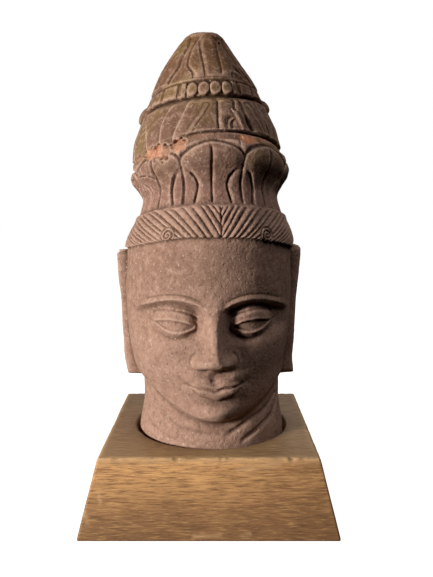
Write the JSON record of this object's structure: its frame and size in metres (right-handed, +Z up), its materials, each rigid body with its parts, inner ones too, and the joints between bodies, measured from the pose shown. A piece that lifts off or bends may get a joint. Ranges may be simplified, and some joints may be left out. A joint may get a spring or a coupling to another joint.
{
  "type": "stone buddha head",
  "caption": "Carved sandstone deity head with a tiered lotus crown, combed hair and long ears, its neck standing in the round socket of a wooden base with four sloped sides.",
  "frame": {"origin": "middle of the wooden base's underside", "axes": "+Z up, the face looks along -Y, +X is to the right of someone who looks at the face"},
  "size_m": [0.1792, 0.1792, 0.352],
  "materials": {
    "sandstone": "worn pinkish-brown sandstone with pale grains, dark soil in the carving and fresh orange chips",
    "brown_wood": "brown hardwood with fine dark pores, dull, a little paler along its worn edges"
  },
  "bodies": {
    "root": {"stone_head": "sandstone", "wooden_base": "brown_wood"}
  },
  "joints": []
}
